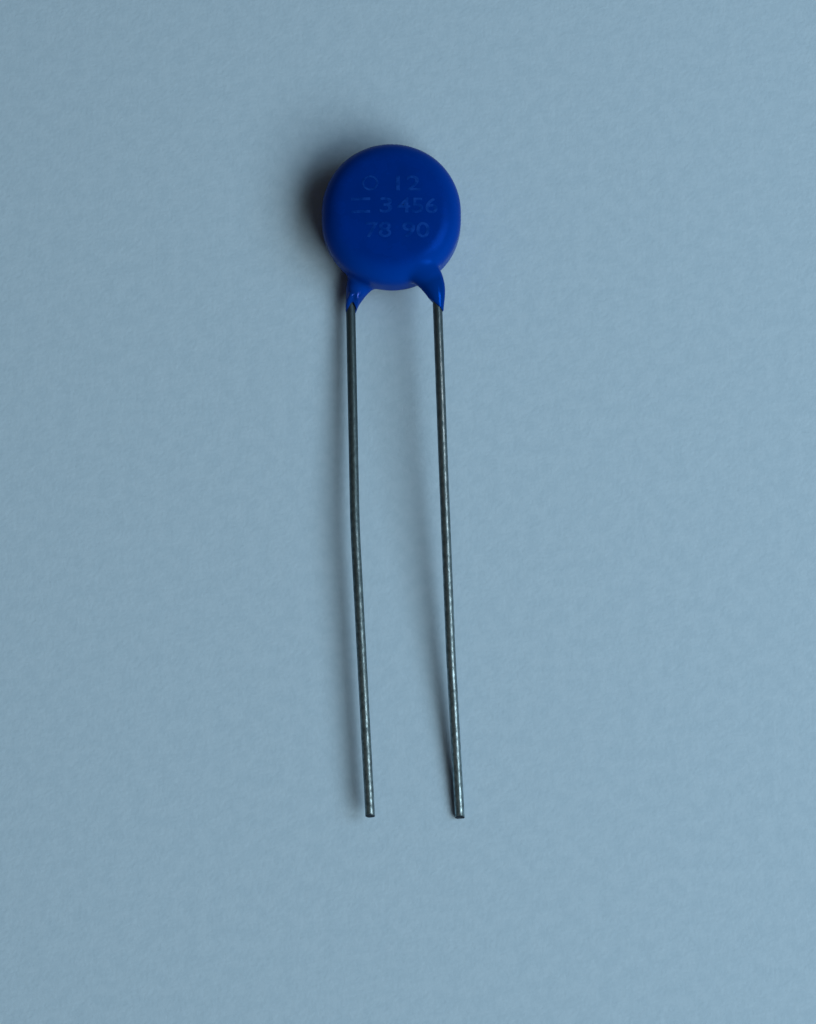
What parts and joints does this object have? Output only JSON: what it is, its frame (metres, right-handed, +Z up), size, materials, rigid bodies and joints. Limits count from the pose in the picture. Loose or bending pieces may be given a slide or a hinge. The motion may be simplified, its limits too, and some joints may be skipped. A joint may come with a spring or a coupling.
{
  "type": "radial leaded varistor",
  "caption": "Blue epoxy-dipped disc varistor with long tinned wire leads, lying flat with its marked face up.",
  "frame": {"origin": "bottom centre of the part's box, on the surface it lies on", "axes": "+Z up out of the marked face, +Y from the lead tips towards the disc, +X to the front lead's side"},
  "size_m": [0.0082, 0.039, 0.004],
  "materials": {
    "coating": "gloss",
    "lead": "satin",
    "ceramic": "matte",
    "silver": "satin",
    "solder": "satin"
  },
  "bodies": {
    "root": {"coating": "coating", "front_lead": "lead", "back_lead": "lead", "ceramic_disc": "ceramic", "front_electrode": "silver", "back_electrode": "silver", "front_solder": "solder", "back_solder": "solder"}
  },
  "joints": []
}
